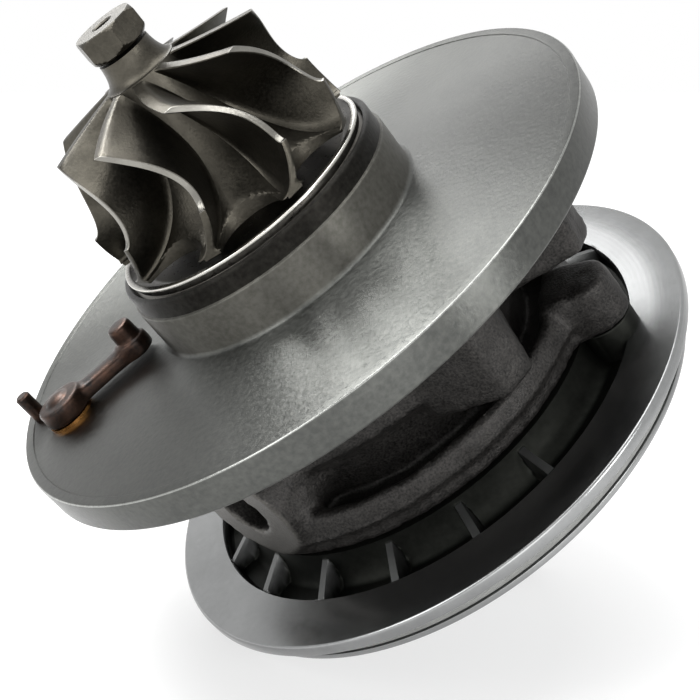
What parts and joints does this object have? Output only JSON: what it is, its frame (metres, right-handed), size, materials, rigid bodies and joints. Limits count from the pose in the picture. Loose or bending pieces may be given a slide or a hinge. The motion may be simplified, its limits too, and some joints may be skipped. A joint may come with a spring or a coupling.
{
  "type": "turbocharger centre cartridge",
  "caption": "Turbocharger centre cartridge: cast bearing housing with a turbine disc, bladed turbine and compressor wheels on a shared shaft, ribbed backplate, vane crank.",
  "frame": {"origin": "on the rotor axis, in the plane of the large disc's turbine-side face", "axes": "+Z along the rotor axis from the compressor to the turbine nose"},
  "size_m": [0.104, 0.104, 0.1199],
  "materials": {
    "cast_iron": "machined and blasted on the disc and hub, raw casting between the discs",
    "turbine_alloy": "investment-cast nickel alloy, dark oxide with burnished edges",
    "shield_steel": "drawn heat-resisting sheet",
    "backplate_aluminium": "die cast, rim turned bright",
    "wheel_aluminium": "cast and machined",
    "black_steel": "heat-blackened",
    "bronze": "machined",
    "spring_steel": "blued spring steel",
    "screw_steel": "phosphated",
    "shaft_steel": "ground",
    "seal_rubber": "moulded"
  },
  "bodies": {
    "housing": {"bearing_housing": "cast_iron", "turbine_disc": "cast_iron", "heat_shield": "shield_steel", "turbine_seal_ring": "spring_steel", "bearing_circlips": "spring_steel", "thrust_bearing": "bronze", "thrust_bearing_screws": "screw_steel", "oil_deflector": "shield_steel", "backplate_gasket": "seal_rubber", "compressor_backplate": "backplate_aluminium", "backplate_screws": "screw_steel", "compressor_seal_ring": "spring_steel", "cover_o_ring": "seal_rubber", "locating_pin": "black_steel", "crank_bush": "bronze"},
    "rotor": {"turbine_wheel": "turbine_alloy", "rotor_shaft": "shaft_steel", "thrust_washer": "shaft_steel", "thrust_sleeve": "shaft_steel", "compressor_wheel": "wheel_aluminium", "compressor_nut": "screw_steel"},
    "float_turbine": {"journal_bearing_turbine": "bronze"},
    "float_compressor": {"journal_bearing_compressor": "bronze"},
    "crank": {"vane_crank": "black_steel", "crank_clip": "spring_steel"}
  },
  "joints": [
    {"name": "rotor_spin", "type": "hinge", "parent": "housing", "child": "rotor", "pos_m": [0, 0, 0], "axis": [0, 0, 1], "continuous": true},
    {"name": "bush_turbine_spin", "type": "hinge", "parent": "housing", "child": "float_turbine", "pos_m": [0, 0, 0], "axis": [0, 0, 1], "continuous": true},
    {"name": "bush_compressor_spin", "type": "hinge", "parent": "housing", "child": "float_compressor", "pos_m": [0, 0, 0], "axis": [0, 0, 1], "continuous": true},
    {"name": "crank_turn", "type": "hinge", "parent": "housing", "child": "crank", "pos_m": [-0.03912, -0.01661, 0], "axis": [0, 0, 1], "range_deg": [-20, 20]}
  ]
}
